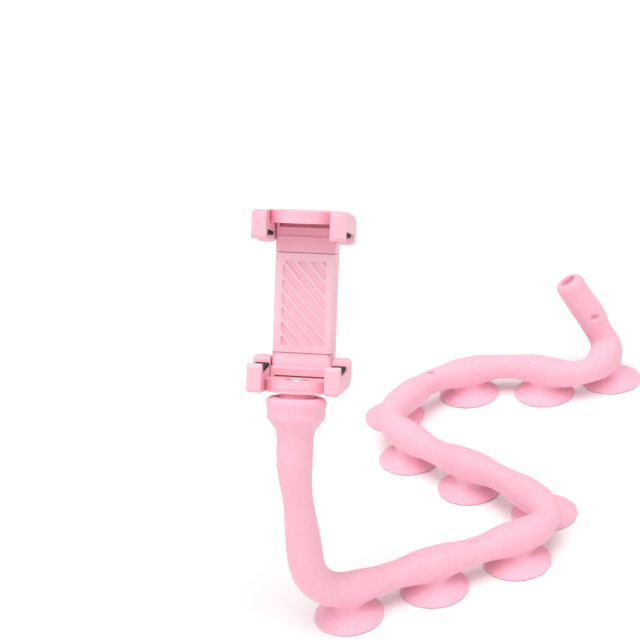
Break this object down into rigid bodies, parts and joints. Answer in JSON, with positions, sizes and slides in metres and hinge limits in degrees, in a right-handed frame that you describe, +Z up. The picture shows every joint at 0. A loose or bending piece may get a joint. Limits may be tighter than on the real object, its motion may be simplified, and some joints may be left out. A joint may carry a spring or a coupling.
{
  "type": "flexible suction cup phone mount",
  "caption": "Bendable silicone arm on a row of suction cups, with a swivelling sprung clamp that holds a phone by its edges.",
  "frame": {"origin": "middle of the footprint, on the plane that the suction cups stand on", "axes": "+Z up, +Y from the clamp towards the arm's tail, with the clamp's front facing -Y and leaning back"},
  "size_m": [0.1792, 0.2556, 0.2029],
  "materials": {
    "silicone": "matt pink silicone",
    "clamp_plastic": "satin pink plastic",
    "plug_plastic": "satin pink plastic",
    "pad_rubber": "matt black rubber",
    "screw_steel": "bright steel",
    "spring_steel": "drawn spring wire"
  },
  "bodies": {
    "arm": {"silicone_arm": "silicone", "swivel_plug": "plug_plastic", "swivel_screw": "screw_steel", "swivel_washer": "screw_steel"},
    "clamp": {"lower_jaw": "clamp_plastic", "front_cover": "clamp_plastic", "cover_screws": "screw_steel", "lower_pad_left": "pad_rubber", "lower_pad_right": "pad_rubber", "jaw_spring": "spring_steel"},
    "jaw": {"upper_jaw": "clamp_plastic", "upper_pad_left": "pad_rubber", "upper_pad_right": "pad_rubber"}
  },
  "joints": [
    {"name": "clamp_swivel", "type": "hinge", "parent": "arm", "child": "clamp", "pos_m": [-0.06742, -0.10508, 0.12223], "axis": [0.075, 0.4072, 0.9103], "continuous": true},
    {"name": "jaw_slide", "type": "slide", "parent": "clamp", "child": "jaw", "axis": [0.075, 0.4072, 0.9103], "range_m": [0, 0.03], "stiffness_N_per_m": 300, "springref_m": -0.02, "deforming": ["jaw_spring"]}
  ]
}
